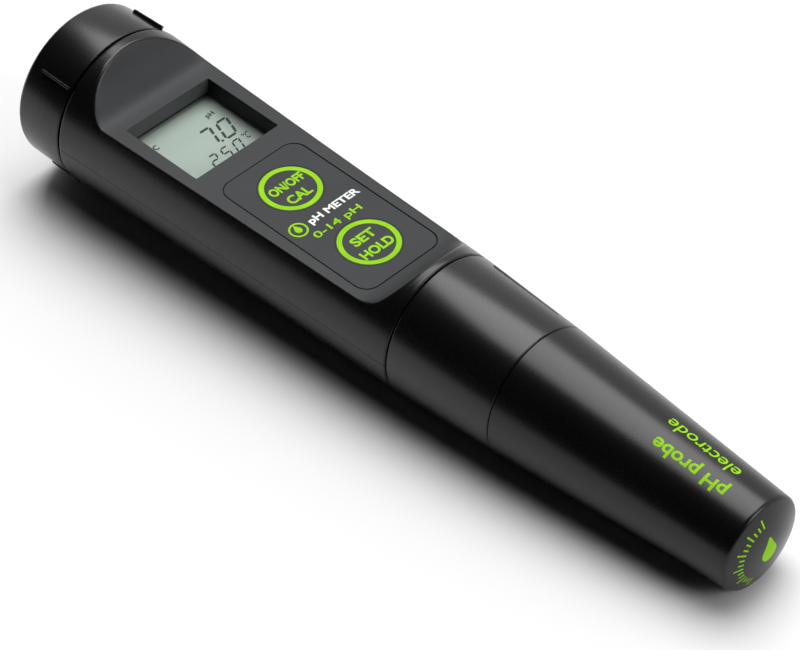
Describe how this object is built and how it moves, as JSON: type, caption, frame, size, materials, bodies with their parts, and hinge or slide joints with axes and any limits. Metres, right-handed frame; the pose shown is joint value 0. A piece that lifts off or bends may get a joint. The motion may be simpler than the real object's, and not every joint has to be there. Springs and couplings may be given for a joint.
{
  "type": "ph meter",
  "caption": "Waterproof pen-type pH meter with a display and keypad on a flat panel, a replaceable electrode held by a threaded collar, and a pull-off protective cap.",
  "frame": {"origin": "centre of the footprint on the surface that the meter lies on, display up", "axes": "+X from the battery cap towards the electrode, +Z out of the display panel, +Y to the top of the lettering's reading direction"},
  "size_m": [0.199, 0.0378, 0.0379],
  "materials": {
    "case_plastic": "fine satin moulded black",
    "cap_plastic": "fine satin moulded black",
    "collar_plastic": "satin moulded black",
    "sleeve_plastic": "satin moulded black",
    "electrode_plastic": "semi-gloss black",
    "overlay_film": "fine-textured grey film",
    "key_film": "fine-textured grey film with a green printed ring",
    "window_clear": "clear polished",
    "lcd": "reflective grey-green display",
    "moulded_ivory": "moulded ivory nylon",
    "zebra_rubber": "layered conductive rubber",
    "seal_rubber": "smooth black rubber",
    "board": "green solder mask",
    "chip_black": "moulded epoxy",
    "plated_steel": "bright plated",
    "cell_steel": "nickel-plated can",
    "contact_gold": "gold flashed",
    "ribbon": "woven tape",
    "foam": "open-cell sponge",
    "sensor_glass": "blown sensor glass",
    "silver": "drawn silver wire",
    "junction_ceramic": "porous white"
  },
  "bodies": {
    "case_body": {"case": "case_plastic", "battery_cap_oring": "seal_rubber", "keypad_overlay": "overlay_film", "switch_on_off": "chip_black", "switch_set_hold": "chip_black", "display_window": "window_clear", "lcd_glass": "lcd", "lcd_frame": "moulded_ivory", "zebra_strip_head": "zebra_rubber", "zebra_strip_tip": "zebra_rubber", "main_board": "board", "controller_chip": "chip_black", "amplifier_chip": "chip_black", "crystal_can": "plated_steel", "buzzer_disc": "chip_black", "tank_capacitor": "plated_steel", "board_screw_1": "plated_steel", "board_screw_2": "plated_steel", "board_screw_3": "plated_steel", "board_screw_4": "plated_steel", "socket_flat_cable": "moulded_ivory", "battery_holder": "moulded_ivory", "button_cell_1": "cell_steel", "button_cell_2": "cell_steel", "button_cell_3": "cell_steel", "button_cell_4": "cell_steel", "contact_minus": "contact_gold", "contact_plus": "contact_gold", "pull_ribbon": "ribbon", "electrode_socket": "moulded_ivory"},
    "on_off_key": {"key_on_off": "key_film"},
    "set_hold_key": {"key_set_hold": "key_film"},
    "cap_carriage": {"cap_pad": "foam"},
    "battery_cap_body": {"battery_cap": "cap_plastic"},
    "electrode": {"electrode_plug": "electrode_plastic", "plug_pin_1": "contact_gold", "plug_pin_2": "contact_gold", "plug_pin_3": "contact_gold", "plug_pin_4": "contact_gold", "plug_oring": "seal_rubber", "electrode_body": "electrode_plastic", "neck_oring": "seal_rubber", "bulb_guard": "electrode_plastic", "glass_electrode": "sensor_glass", "silver_wire": "silver", "temperature_pin": "plated_steel", "reference_junction": "junction_ceramic"},
    "collar": {"collar_ring": "collar_plastic"},
    "sleeve": {"protective_cap": "sleeve_plastic", "storage_sponge": "foam"}
  },
  "joints": [
    {"name": "on_off_press", "type": "slide", "parent": "case_body", "child": "on_off_key", "axis": [0, 0, -1], "range_m": [0, 0.0004], "stiffness_N_per_m": 600},
    {"name": "set_hold_press", "type": "slide", "parent": "case_body", "child": "set_hold_key", "axis": [0, 0, -1], "range_m": [0, 0.0004], "stiffness_N_per_m": 600},
    {"name": "cap_travel", "type": "slide", "parent": "case_body", "child": "cap_carriage", "axis": [-1, 0, 0], "range_m": [0, 0.00917]},
    {"name": "cap_turn", "type": "hinge", "parent": "cap_carriage", "child": "battery_cap_body", "pos_m": [-0.09, 0, 0.01893], "axis": [-1, 0, 0], "range_deg": [0, 220]},
    {"name": "electrode_travel", "type": "slide", "parent": "case_body", "child": "electrode", "axis": [1, 0, 0], "range_m": [0, 0.0125]},
    {"name": "collar_turn", "type": "hinge", "parent": "electrode", "child": "collar", "pos_m": [0.025, 0, 0.01893], "axis": [1, 0, 0], "range_deg": [0, 300]},
    {"name": "sleeve_pull", "type": "slide", "parent": "electrode", "child": "sleeve", "axis": [1, 0, 0], "range_m": [0, 0.06]}
  ],
  "couplings": [
    {"joint": "cap_travel", "follows": "cap_turn", "m_per_rad": 0.0023873},
    {"joint": "electrode_travel", "follows": "collar_turn", "m_per_rad": 0.0023873}
  ]
}
